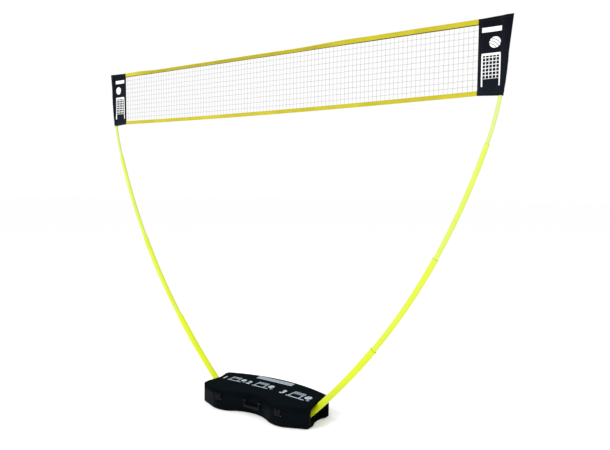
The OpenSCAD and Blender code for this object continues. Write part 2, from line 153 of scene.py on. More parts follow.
class Wire:
    """An output socket in a node tree; arithmetic on it adds Math nodes."""

    def __init__(self, tree, socket):
        self.tree = tree
        self.socket = socket

    def math(self, operation, *others):
        return self.tree.node("ShaderNodeMath", {"operation": operation}, (self, *others))

    def __add__(self, other):
        return self.math("ADD", other)

    __radd__ = __add__

    def __sub__(self, other):
        return self.math("SUBTRACT", other)

    def __rsub__(self, other):
        return (self * -1) + other

    def __mul__(self, other):
        return self.math("MULTIPLY", other)

    __rmul__ = __mul__

    def low(self, other):
        return self.math("MINIMUM", other)

    def high(self, other):
        return self.math("MAXIMUM", other)

    def size(self):
        return self.math("ABSOLUTE")

    def sine(self):
        return self.math("SINE")

    def root(self):
        return self.math("SQRT")

    def ramp(self, start, end):
        """0 up to start, 1 from end on, straight between."""
        return self.tree.node("ShaderNodeMapRange", {"clamp": True}, (self, start, end, 0.0, 1.0))

    def inside(self, edge, soft):
        """1 where the value lies under edge, 0 over it, soft wide."""
        return 1 - self.ramp(edge - soft, edge + soft)


class Tree:
    """A node tree with one way of adding nodes."""

    def __init__(self, tree):
        self.tree = tree

    def node(self, kind, chosen=None, inputs=(), output=0):
        """Adds a node: its settings first, then the values or links of its sockets."""
        made = self.tree.nodes.new(kind)
        for key, value in (chosen or {}).items():
            setattr(made, key, value)
        pairs = inputs.items() if isinstance(inputs, dict) else enumerate(inputs)
        for key, value in pairs:
            self.feed(made.inputs[key], value)
        return Wire(self, made.outputs[output])

    def feed(self, socket, value):
        if isinstance(value, Wire):
            self.tree.links.new(value.socket, socket)
        else:
            socket.default_value = value

    def axes(self, vector):
        """The three numbers of a vector."""
        split = self.node("ShaderNodeSeparateXYZ", {}, (vector,))
        return [Wire(self, socket) for socket in split.socket.node.outputs]

    def vector(self, x, y, z):
        return self.node("ShaderNodeCombineXYZ", {}, (x, y, z))


class Finish(Tree):
    """A material: its tree, its shader and what feeds it."""

    def __init__(self, name, roughness, specular=0.5, **constants):
        self.material = bpy.data.materials.new(name)
        self.material.use_nodes = True
        super().__init__(self.material.node_tree)
        self.shader = self.tree.nodes["Principled BSDF"]
        self.shader.inputs["Specular IOR Level"].default_value = specular
        self.use(roughness=roughness, **constants)

    def place(self):
        """Position in the part's frame."""
        return self.node("ShaderNodeTexCoord", output="Object")

    def flat(self, name):
        """The piece's own UV map, in metres."""
        return self.node("ShaderNodeUVMap", {"uv_map": name})

    def noise(self, where, scale, detail=2.0, rough=0.5):
        return self.node("ShaderNodeTexNoise", {},
                         {"Vector": where, "Scale": scale, "Detail": detail, "Roughness": rough})

    def stretched(self, where, factors):
        return self.node("ShaderNodeVectorMath", {"operation": "MULTIPLY"}, (where, factors))

    def mix(self, share, first, second):
        """Colour between first, at share 0, and second, at share 1."""
        colours = [v if isinstance(v, Wire) else (*v, 1.0) for v in (first, second)]
        return self.node("ShaderNodeMix", {"data_type": "RGBA"},
                         {0: share, 6: colours[0], 7: colours[1]}, output=2)

    def bump(self, height, distance):
        return self.node("ShaderNodeBump", {}, {"Height": height, "Distance": distance})

    def use(self, **sockets):
        """Feeds the shader's sockets, and returns the material."""
        for key, value in sockets.items():
            if isinstance(value, tuple):
                value = (*value, 1.0)
            self.feed(self.shader.inputs[key.replace("_", " ").title()], value)
        return self.material


def shaded(tint, factor):
    return tuple(min(1.0, part * factor) for part in tint)


def moulded_plastic(name, tint, roughness, grain, specular, plate=None):
    """Injection-moulded plastic: spark-eroded grain, flow clouds and fine rub marks.

    The last argument gives the colour and the height of the level top face under the prints; that
    colour is painted shade, darker than the shell.
    """
    f = Finish(name, roughness, specular)
    where = f.place()
    clouds = f.noise(where, 9.0, 3.0)
    grains = f.noise(where, 1500.0, 2.0, 0.6)
    rubs = f.noise(f.stretched(where, (30.0, 220.0, 90.0)), 3.0, 3.0, 0.7).ramp(0.62, 0.74)
    tone = f.mix(clouds.ramp(0.35, 0.7), shaded(tint, 0.85), shaded(tint, 1.25))
    wear_and_top_shade = f.mix(rubs * 0.35, tone, shaded(tint, 2.6))
    if plate:
        # Painted shade: the lid's level top face takes the darker colour in place of the rubbed
        # tone.
        ground, height = plate
        _, _, z = f.axes(where)
        wear_and_top_shade = f.mix(z.ramp(height - 2 * MM, height - 0.3 * MM), wear_and_top_shade, ground)
    return f.use(
        base_color=wear_and_top_shade,
        roughness=roughness + clouds * 0.10 - 0.05 + rubs * 0.06,
        normal=f.bump(grains, grain))


def tray_plastic():
    return moulded_plastic("tray_plastic", settings().case.shell, 0.38, 0.00006, 0.01)


def lid_plastic():
    """The lid's plastic, with painted shade: a darker colour on its level top face under the
    prints.
    """
    plate = (settings().case.plate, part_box("lid")[1].z)
    return moulded_plastic("lid_plastic", settings().case.shell, 0.45, 0.00006, 0.002, plate)


def trim_plastic():
    return moulded_plastic("trim_plastic", settings().case.trim, 0.42, 0.00004, 0.05)


def plated_steel():
    """Zinc-plated pins and screws with a brushed turn."""
    f = Finish("plated_steel", 0.3, metallic=1.0)
    where = f.place()
    turned = f.noise(f.stretched(where, (80.0, 900.0, 900.0)), 2.0, 2.0)
    return f.use(
        base_color=f.mix(turned, (0.13, 0.13, 0.128), (0.20, 0.20, 0.195)),
        roughness=0.24 + turned * 0.14,
        normal=f.bump(turned, 0.00002))


def foot_rubber():
    f = Finish("foot_rubber", 0.8, 0.3)
    where = f.place()
    dust = f.noise(where, 60.0, 4.0, 0.6)
    return f.use(
        base_color=f.mix(dust.ramp(0.45, 0.75), (0.018, 0.018, 0.018), (0.05, 0.048, 0.045)),
        roughness=0.72 + dust * 0.16,
        normal=f.bump(f.noise(where, 900.0), 0.0001))


def pole_plastic(name, tint):
    """Glossy through-coloured tube: drawing lines along it, slight clouds and rub marks."""
    f = Finish(name, 0.3, 0.3, coat_weight=0.08, coat_roughness=0.12)
    along, around, _ = f.axes(f.flat("tube"))
    where = f.place()
    clouds = f.noise(where, 5.0, 2.0)
    lines = f.noise(f.vector(along * 2.0, around * 900.0, 0.0), 1.0, 2.0)
    scuffs = f.noise(f.stretched(where, (240.0, 240.0, 60.0)), 1.0, 4.0, 0.7).ramp(0.64, 0.78)
    tone = f.mix(clouds.ramp(0.3, 0.7), shaded(tint, 0.93), tint)
    return f.use(
        base_color=f.mix(scuffs * 0.3, tone, shaded(tint, 0.7)),
        roughness=0.24 + lines * 0.10 + scuffs * 0.15,
        normal=f.bump(lines, 0.00003))


def weave(along, across, pitch):
    """Height of a plain weave of threads pitch apart, from 0 to 1."""
    turn = 2 * math.pi / pitch
    over = (along * turn).sine() * (across * turn).sine()
    return over * 0.5 + 0.5


def tape_webbing(name, edging, width):
    """Folded golden webbing of a flat width, with a dark olive band of colour along both open
    edges.
    """
    tint = settings().net.gold
    f = Finish(name, 0.72, 0.15, sheen_weight=0.05, sheen_roughness=0.5)
    along, across, _ = f.axes(f.flat("tape"))
    threads = weave(along, across, 1.6 * MM)
    fading = f.noise(f.place(), 7.0, 3.0)
    tone = f.mix(fading.ramp(0.35, 0.7), shaded(tint, 0.88), shaded(tint, 1.06))
    ribbed = f.mix(threads.ramp(0.0, 0.35), shaded(tint, 0.55), tone)
    # A dark olive band of colour along both open edges, as high as given.
    band_mask = (across - width / 2).size().ramp(width / 2 - edging - 0.4 * MM, width / 2 - edging)
    return f.use(
        base_color=f.mix(band_mask, ribbed, (0.075, 0.062, 0.006)),
        roughness=0.66 + threads * 0.14,
        normal=f.bump(threads, 0.00025))


def twisted(name, roughness, specular, scale, dark, light, depth):
    """Twisted fibre whose lay goes from a dark to a light colour."""
    f = Finish(name, roughness, specular)
    lay = f.noise(f.place(), scale)
    return f.use(base_color=f.mix(lay, dark, light), normal=f.bump(lay, depth))


def net_twine():
    tint = settings().net.mesh
    return twisted("net_twine", 0.7, 0.3, 700.0, shaded(tint, 0.6), shaded(tint, 1.5), 0.0002)


def sewing_thread(name, tint):
    return twisted(name, 0.6, 0.35, 1800.0, shaded(tint, 0.7), tint, 0.0001)


def sign_ink():
    tint = settings().case.ink
    f = Finish("sign_ink", 0.45, 0.4)
    where = f.place()
    thin = f.noise(where, 260.0, 3.0, 0.65).ramp(0.62, 0.8)
    return f.use(base_color=f.mix(thin * 0.4, tint, shaded(tint, 0.55)),
                 roughness=0.42 + thin * 0.2)


def panel_cloth():
    """Near-black cloth with a white print: a plain bar, a ball and a net. UV map in metres. Painted
    light: the cloth is coloured lighter towards its lower edge and darker towards its top.
    """
    tint = settings().net.cloth
    f = Finish("panel_cloth", 0.82, 0.08, sheen_weight=0.02, sheen_roughness=0.45)
    across, up, _ = f.axes(f.flat("cloth"))
    where = f.place()
    threads = weave(across, up, 1.1 * MM)
    print_mask = panel_print(across, up)
    thin = f.noise(where, 420.0, 3.0, 0.6).ramp(0.60, 0.78)
    fading = f.noise(where, 11.0, 3.0).ramp(0.35, 0.7)
    # Painted light: lighter towards the lower edge, with a random mottle, and darker towards the
    # top.
    mottle_and_painted_light = f.mix(fading, shaded(tint, 1.7), shaded(tint, 2.9))
    cloth = f.mix(up.ramp(-0.02, 0.38), mottle_and_painted_light, shaded(tint, 0.5))
    woven = f.mix(threads, shaded(tint, 0.55), cloth)
    ink = f.mix(threads.ramp(0.0, 0.3), (0.50, 0.51, 0.52), (0.80, 0.81, 0.80))
    return f.use(
        base_color=f.mix(print_mask * (1 - thin * 0.35), woven, ink),
        roughness=0.86 - print_mask * 0.22,
        normal=f.bump(threads, 0.00018))


def panel_print(across, up):
    """Where the print lies; across and up are metres from the panel's lower inner corner."""
    soft = 0.0006

    def block(left, right, low, high):
        return ((across - (left + right) / 2).size().inside((right - left) / 2, soft)
                * (up - (low + high) / 2).size().inside((high - low) / 2, soft))

    def from_point(u, v):
        du, dv = across - u, up - v
        return (du * du + dv * dv).root()

    bar = block(0.018, 0.116, 0.316, 0.340)
    ball_u, ball_v, ball_r = 0.084, 0.262, 0.028
    seams = None
    for reach in (0.046, 0.060, 0.074):
        line = (from_point(ball_u - 0.034, ball_v - 0.050) - reach).size().inside(0.0014, soft)
        seams = line if seams is None else seams.high(line)
    ball = from_point(ball_u, ball_v).inside(ball_r, soft) * (1 - seams)

    left, right, low, high, cell = 0.022, 0.110, 0.082, 0.200, 0.0176
    line_u = (across - left).math("PINGPONG", cell / 2).inside(0.0017, soft)
    line_v = (up - low).math("PINGPONG", cell / 2).inside(0.0017, soft)
    net = block(left, right, low, high) * line_u.high(line_v)
    tape = block(left - 0.003, right + 0.003, high - 0.002, high + 0.010)
    posts = block(left - 0.004, left + 0.003, 0.044, high).high(
        block(right - 0.003, right + 0.004, 0.044, high))
    return bar.high(ball).high(net).high(tape).high(posts)


# ---- Mesh building ----

def placed(name, data):
    """Adds an object to the scene."""
    made = bpy.data.objects.new(name, data)
    bpy.context.scene.collection.objects.link(made)
    return made


def dress(mesh, material):
    """Gives a mesh one material."""
    mesh.materials.clear()
    mesh.materials.append(material)


def show(name, mesh, material):
    """Adds a mesh as an object with one material."""
    dress(mesh, material)
    return placed(name, mesh)


def meshed(name, made):
    """Turns a bmesh into a mesh."""
    mesh = bpy.data.meshes.new(name)
    made.to_mesh(mesh)
    made.free()
    return mesh


def skin(rings, along, across, layer, closed=False):
    """Faces between rings of points; along and across are each ring's and each point's UV place."""
    made = bmesh.new()
    uv = made.loops.layers.uv.new(layer)
    grid = [[made.verts.new(point) for point in ring] for ring in rings]
    count = len(rings[0])
    for i in range(len(rings) - 1):
        for j in range(count if closed else count - 1):
            places = ((i, j), (i, j + 1), (i + 1, j + 1), (i + 1, j))
            face = made.faces.new([grid[a][b % count] for a, b in places])
            face.smooth = True
            for loop, (a, b) in zip(face.loops, places):
                loop[uv].uv = (along(a, b), across(a, b))
    return made


def baked(piece):
    """Turns a piece and its modifiers into one plain mesh."""
    graph = bpy.context.evaluated_depsgraph_get()
    mesh = bpy.data.meshes.new_from_object(
        piece.evaluated_get(graph), preserve_all_data_layers=True, depsgraph=graph)
    piece.modifiers.clear()
    old = piece.data
    piece.data = mesh
    bpy.data.meshes.remove(old)
    return piece


def walled(piece, thickness):
    """Gives cloth its thickness, half of it on each side."""
    wall = piece.modifiers.new("Wall", "SOLIDIFY")
    wall.thickness = thickness
    wall.offset = 0.0
    return baked(piece)


def fit(piece, body, slot, *nodes):
    """Hangs a finished piece on its body and hides the nodes that it stands for."""
    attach(piece, body)
    if nodes:
        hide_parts(*nodes)


def smooth(share):
    share = min(1.0, max(0.0, share))
    return share * share * (3 - 2 * share)


def spread(start, end, steps):
    return [start + (end - start) * k / steps for k in range(steps + 1)]


def straight(start, end, steps):
    """Points on the way from start to end, without start."""
    return list(zip(*(spread(a, b, steps)[1:] for a, b in zip(start, end))))


# ---- Case ----

WELD = 0.004 * MM
LEVEL = 0.1 * MM
LOW_WALL = 12 * MM
RING_CORNERS, RING_WIDTH = 24, 12 * MM
FLAT_TURN = math.radians(0.8)
EDGE_TURN = math.radians(28)
CREASE = math.radians(35)


def rounded_copy(node, name, material, radius, rims=()):
    """Copy of a moulded node with rounded edges; rims are (height, radius) of its outer rims."""
    made = bmesh.new()
    made.from_mesh(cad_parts[node].data)
    bmesh.ops.remove_doubles(made, verts=made.verts, dist=WELD)
    bmesh.ops.dissolve_limit(made, angle_limit=FLAT_TURN, verts=made.verts, edges=made.edges)
    widest = max([radius] + [rim for _, rim in rims])
    weight = made.edges.layers.float.new("bevel_weight_edge")
    for edge in made.edges:
        edge[weight] = edge_radius(edge, radius, rims) / widest
    thin_rings = [face for face in made.faces
                  if len(face.verts) > RING_CORNERS and mean_width(face) < RING_WIDTH]
    bmesh.ops.triangulate(made, faces=thin_rings, ngon_method="EAR_CLIP")
    for face in made.faces:
        face.smooth = True
    piece = show(name, meshed(name, made), material)
    bevel = piece.modifiers.new("Rounding", "BEVEL")
    bevel.width = widest
    bevel.segments = 4 if rims else 3
    bevel.limit_method = "WEIGHT"
    bevel.miter_outer = "MITER_ARC"
    bevel.use_clamp_overlap = not rims
    piece.data.set_sharp_from_angle(angle=CREASE)
    normals = piece.modifiers.new("Normals", "WEIGHTED_NORMAL")
    normals.keep_sharp = False
    baked(piece)
    level_normals(piece.data)
    return piece


def level_normals(mesh):
    """Gives the corners of level faces, and the rounding that meets them, upright normals."""
    upright = {}
    for face in mesh.polygons:
        if abs(face.normal.z) > 0.9999:
            for vert in face.vertices:
                upright[vert] = math.copysign(1.0, face.normal.z)
    normals = []
    for face in mesh.polygons:
        for corner, vert in zip(face.loop_indices, face.vertices):
            normal = Vector(mesh.corner_normals[corner].vector)
            way = upright.get(vert, 0.0)
            normals.append(Vector((0, 0, way)) if normal.z * way > 0.5 else normal)
    mesh.normals_split_custom_set(normals)


def edge_radius(edge, radius, rims):
    """Radius of a moulded edge: 0 where the surface runs on, and on a rim over a low wall."""
    if len(edge.link_faces) != 2 or edge.calc_face_angle(0.0) < EDGE_TURN:
        return 0.0
    for height, rim in rims:
        if all(abs(vert.co.z - height) < LEVEL for vert in edge.verts):
            walls = [tallness(face) for face in edge.link_faces if faces_out(face, edge)]
            return rim if walls and min(walls) > LOW_WALL else 0.0
    if edge.calc_length() < 2 * radius or not edge.is_convex:
        return 0.0
    return min(radius, 0.3 * min(mean_width(face) for face in edge.link_faces))


def tallness(face):
    heights = [vert.co.z for vert in face.verts]
    return max(heights) - min(heights)


def mean_width(face):
    """Width of a long face, or about half the width of a square one."""
    return 2 * face.calc_area() / face.calc_perimeter()


def faces_out(face, edge):
    """Whether a face is an upright outer wall."""
    middle = (edge.verts[0].co + edge.verts[1].co) / 2
    normal = face.normal
    return abs(normal.z) < 0.02 and normal.x * middle.x + normal.y * middle.y > 0


class NETSET_OT_case_shells(bpy.types.Operator):
    """Make the tray and the lid with their rounded rims"""
    bl_idname = "netset.case_shells"
    bl_label = "Case Shells"

    def execute(self, context):
        sizes = settings().case
        lid_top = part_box("lid")[1].z
        tray_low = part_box("tray")[0].z
        lid = rounded_copy("lid", "lid_shell", lid_plastic(), sizes.edge_round,
                           [(lid_top, sizes.rim_round)])
        tray = rounded_copy("tray", "tray_shell", tray_plastic(), sizes.edge_round,
                            [(tray_low, sizes.base_round)])
        fit(lid, "lid", "case_plastic", "lid")
        fit(tray, CASE_BODY, "case_plastic", "tray")
        return {"FINISHED"}


class NETSET_OT_case_fittings(bpy.types.Operator):
    """Make the latches, the handle, the pegs and the feet, and finish the small metal parts"""
    bl_idname = "netset.case_fittings"
    bl_label = "Case Fittings"

    def execute(self, context):
        trim = trim_plastic()
        for node, body in (("left_latch", "left_latch"), ("right_latch", "right_latch"),
                           ("carry_handle", "carry_handle"),
                           ("left_peg", CASE_BODY), ("right_peg", CASE_BODY)):
            part = rounded_copy(node, node + "_moulding", trim, 0.7 * MM)
            fit(part, body, "trim_plastic", node)
        rubber = rounded_copy("feet", "rubber_feet", foot_rubber(), 0.6 * MM)
        fit(rubber, CASE_BODY, "foot_rubber", "feet")
        kept_nodes = (
            (plated_steel(), ("hinge_pins", "latch_pins", "handle_pins", "peg_screws")),
            (trim, ("left_mouth_rings", "right_mouth_rings", "left_slide_rings",
                    "right_slide_rings", "left_tip_cap", "right_tip_cap")),
        )
        for material, nodes in kept_nodes:
            for node in nodes:
                dress(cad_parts[node].data, material)
        return {"FINISHED"}


def strip(start, end, width):
    """Outline of a straight line of ink."""
    start, end = Vector(start), Vector(end)
    side = (end - start).normalized().orthogonal() * width / 2
    return [start + side, start - side, end - side, end + side]


def segment(centre, radius, low, high):
    """Outline of the part of a disc between two heights, given as shares of its radius."""
    turns = spread(math.asin(low), math.asin(high), 14)
    left = [Vector((-math.cos(t), math.sin(t))) for t in turns]
    right = [Vector((-p.x, p.y)) for p in reversed(left)]
    return [Vector(centre) + p * radius for p in left + right]


def net_sign(place):
    """Outlines of one sign: ground line, posts, net and a striped ball in flight, in metres."""
    x, y, scale, turn = place
    ground, left, right = -0.026, 0.060, 0.140
    parts = [strip((0.044, ground), (0.182, ground), 0.0085)]
    parts += [strip((post, ground), (post, 0.056), 0.0065) for post in (left, right)]
    parts += [strip((left, h), (right, h), 0.0042) for h in (0.054, 0.040, 0.026)]
    parts += [strip((w, 0.026), (w, 0.054), 0.0036) for w in spread(0.076, 0.124, 3)]
    parts += [segment((0.184, 0.020), 0.024, low, high)
              for low, high in ((-0.98, -0.44), (-0.28, 0.28), (0.44, 0.98))]
    parts += [strip((0.196, 0.020 - h), (0.196 + reach, 0.020 - h - reach * 0.3), 0.0045)
              for h, reach in ((0.028, 0.022), (0.038, 0.016))]
    turned = Matrix.Rotation(math.radians(turn), 2)
    return [[Vector((x, y)) + turned @ (point * scale) for point in part] for part in parts]


INK_FILM = 0.12 * MM


def printed(name, outlines, height, ink):
    """Flat prints at a height, as thin as a film of ink."""
    made = bmesh.new()
    for outline in outlines:
        base = [made.verts.new((p.x, p.y, height)) for p in outline]
        face = made.faces.new(base)
        face.normal_update()
        if face.normal.z < 0:
            face.normal_flip()
    grown = bmesh.ops.extrude_face_region(made, geom=made.faces[:])
    moved = [item for item in grown["geom"] if isinstance(item, bmesh.types.BMVert)]
    bmesh.ops.translate(made, verts=moved, vec=(0, 0, INK_FILM))
    bmesh.ops.recalc_face_normals(made, faces=made.faces)
    return show(name, meshed(name, made), ink)


def printed_number(text, place, size, height, ink):
    """One number printed at a height."""
    x, y, scale, turn = place
    curve = bpy.data.curves.new("number_" + text, "FONT")
    curve.body = text
    curve.size = size * scale
    curve.align_x = "CENTER"
    curve.align_y = "CENTER"
    curve.extrude = INK_FILM / 2
    curve.offset = 0.0022
    written = placed("number_" + text, curve)
    graph = bpy.context.evaluated_depsgraph_get()
    mesh = bpy.data.meshes.new_from_object(written.evaluated_get(graph))
    bpy.data.objects.remove(written)
    mesh.transform(Matrix.Translation((x, y, height + INK_FILM / 2))
                   @ Matrix.Rotation(math.radians(turn), 4, "Z"))
    return show("lid_number_" + text, mesh, ink)


class NETSET_OT_lid_prints(bpy.types.Operator):
    """Print three numbered signs and plain lines on the lid"""
    bl_idname = "netset.lid_prints"
    bl_label = "Lid Prints"

    def execute(self, context):
        ink = sign_ink()
        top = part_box("lid")[1].z
        places = ((-0.366, 0.016, 0.82, 3), (-0.160, 0.026, 0.95, 0), (0.134, 0.012, 1.06, -6))
        for number, place in enumerate(places, 1):
            sign = printed(f"lid_sign_{number}", net_sign(place), top, ink)
            text = printed_number(str(number), place, settings().case.print_size, top, ink)
            fit(sign, "lid", "case_plastic")
            fit(text, "lid", "case_plastic")
        lines = [strip((-0.178, y), (0.118, y), 0.0105) for y in (0.136, 0.153, 0.170)]
        fit(printed("lid_lines", lines, top, ink), "lid", "case_plastic")
        return {"FINISHED"}


# ---- Poles ----

class PoleCourse:
    """Middle line of a pole: four arcs, each tangent to the one below."""

    def __init__(self, side):
        poles = settings().poles
        self.side = side
        self.bends = tuple(poles.bends)
        self.shown = (poles.section,) * 3 + (poles.top_section,)
        self.leans, self.starts = [poles.lean], [(poles.foot_x, poles.foot_z)]
        for bend, shown in zip(self.bends[:3], self.shown[:3]):
            self.starts.append(self.on_arc(len(self.leans) - 1, shown)[:2])
            self.leans.append(self.leans[-1] - shown / bend)

    def centre(self, i):
        """Distance from the middle and height of the centre of arc i."""
        (x, z), bend, lean = self.starts[i], self.bends[i], self.leans[i]
        return x - bend * math.cos(lean), z + bend * math.sin(lean)

    def on_arc(self, i, up):
        """Distance from the middle, height and lean at a length up section i."""
        bend, lean = self.bends[i], self.leans[i] - up / self.bends[i]
        x, z = self.centre(i)
        return x + bend * math.cos(lean), z - bend * math.sin(lean), lean

    def at(self, i, up):
        """Point and lean; a length below 0 lies on the section below."""
        if up < 0 and i > 0:
            i, up = i - 1, self.shown[i - 1] + up
        x, z, lean = self.on_arc(i, up)
        return Vector((self.side * x, 0, z)), lean

    def ring(self, i, up, radius, count):
        """Points round the pole, square to it."""
        point, lean = self.at(i, up)
        outward = Vector((self.side * math.cos(lean), 0, -math.sin(lean)))
        turns = [2 * math.pi * k / count for k in range(count)]
        return [point + (outward * math.cos(t) + Vector((0, 1, 0)) * math.sin(t)) * radius
                for t in turns]

    def top_at(self, height):
        """Distance of the top section from the middle, at a height."""
        x, z = self.centre(3)
        return x + math.sqrt(self.bends[3] ** 2 - (z - height) ** 2)


TUBE_SIDES, TUBE_STEPS, LIP_STEPS = 36, 24, 8
TIP_MISS = 2 * MM


def tube(course, i, name, material):
    """One tube with a rounded mouth, its wall, its bore and its tail inside the tube below."""
    poles = settings().poles
    outer = (poles.girth - i * poles.step) / 2
    lip = poles.wall / 2
    tail = -poles.tail if i else 0.0
    end = course.shown[i]
    profile = [(up, outer) for up in spread(tail, end - lip, TUBE_STEPS)]
    profile += [(end - lip + lip * math.sin(t), outer - lip + lip * math.cos(t))
                for t in spread(0.0, math.pi, LIP_STEPS)[1:-1]]
    profile += [(up, outer - poles.wall) for up in spread(end - lip, tail, TUBE_STEPS)]
    profile.append(profile[0])
    rings = [course.ring(i, up, radius, TUBE_SIDES) for up, radius in profile]
    made = skin(rings, lambda a, b: profile[a][0], lambda a, b: b / TUBE_SIDES, "tube",
                closed=True)
    bmesh.ops.remove_doubles(made, verts=made.verts, dist=0.001 * MM)
    bmesh.ops.recalc_face_normals(made, faces=made.faces)
    mesh = meshed(name, made)
    mesh.set_sharp_from_angle(angle=math.radians(50))
    return show(name, mesh, material)


class NETSET_OT_poles(bpy.types.Operator):
    """Make the four telescoping tubes of each bowed pole"""
    bl_idname = "netset.poles"
    bl_label = "Poles"

    def execute(self, context):
        poles = settings().poles
        plastics = []
        for i, share in enumerate((0.0, 0.18, 0.45, 1.0)):
            tint = tuple(a + (b - a) * share for a, b in zip(poles.lemon, poles.pale))
            plastics.append(pole_plastic(f"lemon_tube_{i + 1}", tint))
        for side_name, side in SIDES.items():
            course = PoleCourse(side)
            low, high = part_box(side_name + "_tip_cap")
            tip = course.at(3, poles.top_section)[0]
            if abs(tip.x - (low.x + high.x) / 2) > TIP_MISS or not low.z < tip.z < high.z:
                raise RuntimeError("the pole's course doesn't end in its tip cap")
            for i, plastic in enumerate(plastics):
                node = f"{side_name}_tube_{i + 1}"
                part = tube(course, i, node + "_wall", plastic)
                fit(part, CASE_BODY, "pole_yellow", node)
        return {"FINISHED"}


# ---- Net ----

class NetPlan:
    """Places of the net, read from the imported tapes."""

    def __init__(self):
        top_low, top_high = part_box("top_tape")
        low_low, low_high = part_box("bottom_tape")
        self.half = top_high.x
        self.top = top_high.z
        self.mesh_top = top_low.z
        self.top_height = top_high.z - top_low.z
        self.sag = settings().net.sag
        self.low_height = low_high.z - low_low.z - self.sag
        self.mesh_low = low_high.z
        self.low = low_low.z + self.sag

    def droop(self, x):
        return self.sag * (1 - (x / self.half) ** 2)


class Growth(Tree):
    """A Geometry Nodes tree with named inputs, and the modifier that runs it."""

    def __init__(self, name):
        group = bpy.data.node_groups.new(name, "GeometryNodeTree")
        super().__init__(group)
        for way in ("INPUT", "OUTPUT"):
            group.interface.new_socket("Geometry", in_out=way, socket_type="NodeSocketGeometry")
        self.entry = group.nodes.new("NodeGroupInput")
        self.values = {}

    def input(self, name, kind, value):
        """A named input, with the value that the modifier gives it."""
        item = self.tree.interface.new_socket(name, in_out="INPUT", socket_type="NodeSocket" + kind)
        self.values[item.identifier] = value
        return Wire(self, self.entry.outputs[name])

    def given(self):
        return Wire(self, self.entry.outputs["Geometry"])

    def close(self, shape, material):
        """Ends the tree in real geometry with its material."""
        real = self.node("GeometryNodeRealizeInstances", {}, (shape,))
        soft = self.node("GeometryNodeSetShadeSmooth", {}, {"Geometry": real})
        done = self.node("GeometryNodeSetMaterial", {}, {"Geometry": soft, "Material": material})
        exit_node = self.tree.nodes.new("NodeGroupOutput")
        self.tree.links.new(done.socket, exit_node.inputs[0])

    def run_on(self, piece):
        """Runs the tree on a piece and leaves a plain mesh."""
        modifier = piece.modifiers.new("Growth", "NODES")
        modifier.node_group = self.tree
        for identifier, value in self.values.items():
            modifier[identifier] = value
        return baked(piece)


def twine_tree(material):
    """Grid of knotted twine that hangs between two tapes."""
    plan = NetPlan()
    sizes = settings().net
    g = Growth("Knotted Net")
    columns = g.input("Columns", "Int", sizes.columns)
    rows = g.input("Rows", "Int", sizes.rows)
    half = g.input("Half Length", "Float", plan.half + 2 * MM)
    top = g.input("Top", "Float", plan.mesh_top + 4 * MM)
    drop = g.input("Height", "Float", plan.mesh_top - plan.mesh_low + 8 * MM)
    sag = g.input("Sag", "Float", plan.sag)
    twine = g.input("Twine", "Float", sizes.twine)
    knot = g.input("Knot", "Float", sizes.knot)
    wander = g.input("Wander", "Float", 0.0045)
    seed = g.input("Seed", "Int", 7)

    grid = g.node("GeometryNodeMeshGrid", {}, (2.0, 1.0, columns + 1, rows + 1))
    u, v, _ = g.axes(g.node("GeometryNodeInputPosition"))
    w = 0.5 - v
    drift = g.node("ShaderNodeTexNoise", {"noise_dimensions": "3D"},
                   {"Vector": g.vector(u * 9.0, w * 2.2, 0.3), "Scale": 1.6, "Detail": 2.0},
                   output=1)
    free = (w * (1 - w) * 4.0).low(1.0) * ((1 - u * u) * 12.0).low(1.0) * wander
    dx, dy, dz = [(part - 0.5) * free for part in g.axes(drift)]
    height = top - (drop + sag * (1 - u * u)) * w
    place = g.vector(u * half + dx, dy * 2.0, height + dz)
    hung = g.node("GeometryNodeSetPosition", {}, {"Geometry": grid, "Position": place})

    lines = g.node("GeometryNodeMeshToCurve", {}, {"Mesh": hung})
    bent = g.node("GeometryNodeSubdivideCurve", {}, {"Curve": lines, "Cuts": 1})
    ring = g.node("GeometryNodeCurvePrimitiveCircle", {"mode": "RADIUS"},
                  {"Resolution": 5, "Radius": twine * 0.5})
    strands = g.node("GeometryNodeCurveToMesh", {}, {"Curve": bent, "Profile Curve": ring})
    ball = g.node("GeometryNodeMeshIcoSphere", {}, {"Radius": knot * 0.5, "Subdivisions": 1})
    turn = g.node("FunctionNodeRandomValue", {"data_type": "FLOAT_VECTOR"},
                  {0: (0.0, 0.0, 0.0), 1: (3.1, 3.1, 3.1), "Seed": seed})
    knots = g.node("GeometryNodeInstanceOnPoints", {},
                   {"Points": hung, "Instance": ball, "Rotation": turn, "Scale": (1.25, 1.0, 0.85)})
    both = g.node("GeometryNodeJoinGeometry")
    for part in (strands, knots):
        g.feed(both.socket.node.inputs[0], part)
    g.close(both, material)
    return g


class NETSET_OT_net_mesh(bpy.types.Operator):
    """Knot the mesh between the tapes"""
    bl_idname = "netset.net_mesh"
    bl_label = "Net Mesh"

    def execute(self, context):
        piece = show("knotted_mesh", bpy.data.meshes.new("knotted_mesh"), net_twine())
        twine_tree(piece.data.materials[0]).run_on(piece)
        fit(piece, CASE_BODY, "net_twine", "net_mesh")
        return {"FINISHED"}


def stitch_tree(thread, pitch, size):
    """Stitches, one pitch apart, along the edges of a mesh."""
    g = Growth("Stitches")
    step = g.input("Pitch", "Float", pitch)
    span = g.input("Stitch Length", "Float", size[0])
    girth = g.input("Thread", "Float", size[1])
    lines = g.node("GeometryNodeMeshToCurve", {}, {"Mesh": g.given()})
    spaced = g.node("GeometryNodeResampleCurve", {"mode": "LENGTH"},
                    {"Curve": lines, "Length": step})
    way = g.node("GeometryNodeInputTangent")
    turn = g.node("FunctionNodeAlignRotationToVector", {"axis": "X"}, {"Vector": way})
    grain = g.node("GeometryNodeMeshIcoSphere", {}, {"Radius": 0.5, "Subdivisions": 1})
    shape = g.vector(span, girth, girth)
    sewn = g.node("GeometryNodeInstanceOnPoints", {},
                  {"Points": spaced, "Instance": grain, "Rotation": turn, "Scale": shape})
    g.close(sewn, thread)
    return g


